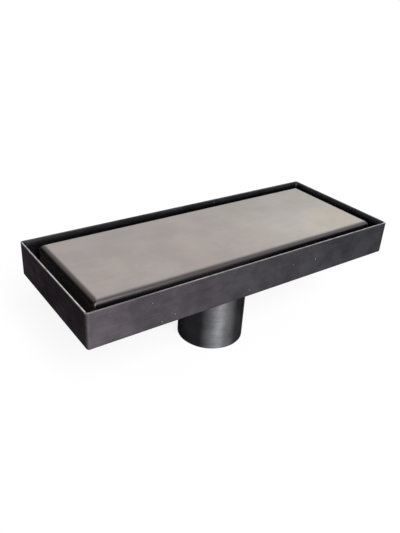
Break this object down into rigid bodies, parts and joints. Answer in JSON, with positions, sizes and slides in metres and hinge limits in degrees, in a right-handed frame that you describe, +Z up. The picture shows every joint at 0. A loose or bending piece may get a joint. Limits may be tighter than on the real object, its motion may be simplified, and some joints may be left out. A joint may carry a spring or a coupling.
{
  "type": "tile insert floor drain",
  "caption": "Shallow rectangular floor drain: a folded steel tray on a round outlet tube, with a loose reversible tile cover and a drop-in odour trap with a sprung valve.",
  "frame": {"origin": "centre of the outlet tube's lower end, on which the drain stands in the picture", "axes": "+Z up, +X along the tray's length, front long side facing -Y"},
  "size_m": [0.2, 0.08, 0.068],
  "materials": {
    "dark_steel": "dark gunmetal satin",
    "tube_steel": "dark gunmetal satin, polished round the tube",
    "cover_steel": "warm grey satin, brushed along the length",
    "rest_steel": "dark gunmetal satin",
    "trap_plastic": "moulded white plastic",
    "seal_rubber": "black rubber",
    "gasket_silicone": "red-brown silicone",
    "bright_steel": "plain stainless"
  },
  "bodies": {
    "drain": {"tray": "dark_steel", "outlet_tube": "tube_steel", "tile_cover": "cover_steel", "corner_rest_front_left": "rest_steel", "corner_rest_front_right": "rest_steel", "corner_rest_back_left": "rest_steel", "corner_rest_back_right": "rest_steel", "trap_barrel": "trap_plastic", "guide_spider": "trap_plastic", "trap_seal_ring": "seal_rubber", "hair_strainer": "bright_steel", "return_spring": "bright_steel"},
    "valve": {"valve_disc": "trap_plastic", "valve_gasket": "gasket_silicone", "valve_stem": "bright_steel", "valve_nut": "bright_steel", "spring_cap": "trap_plastic"}
  },
  "joints": [
    {"name": "valve_slide", "type": "slide", "parent": "drain", "child": "valve", "axis": [0, 0, -1], "range_m": [0, 0.006], "stiffness_N_per_m": 20, "springref_m": -0.015, "deforming": ["return_spring"]}
  ]
}
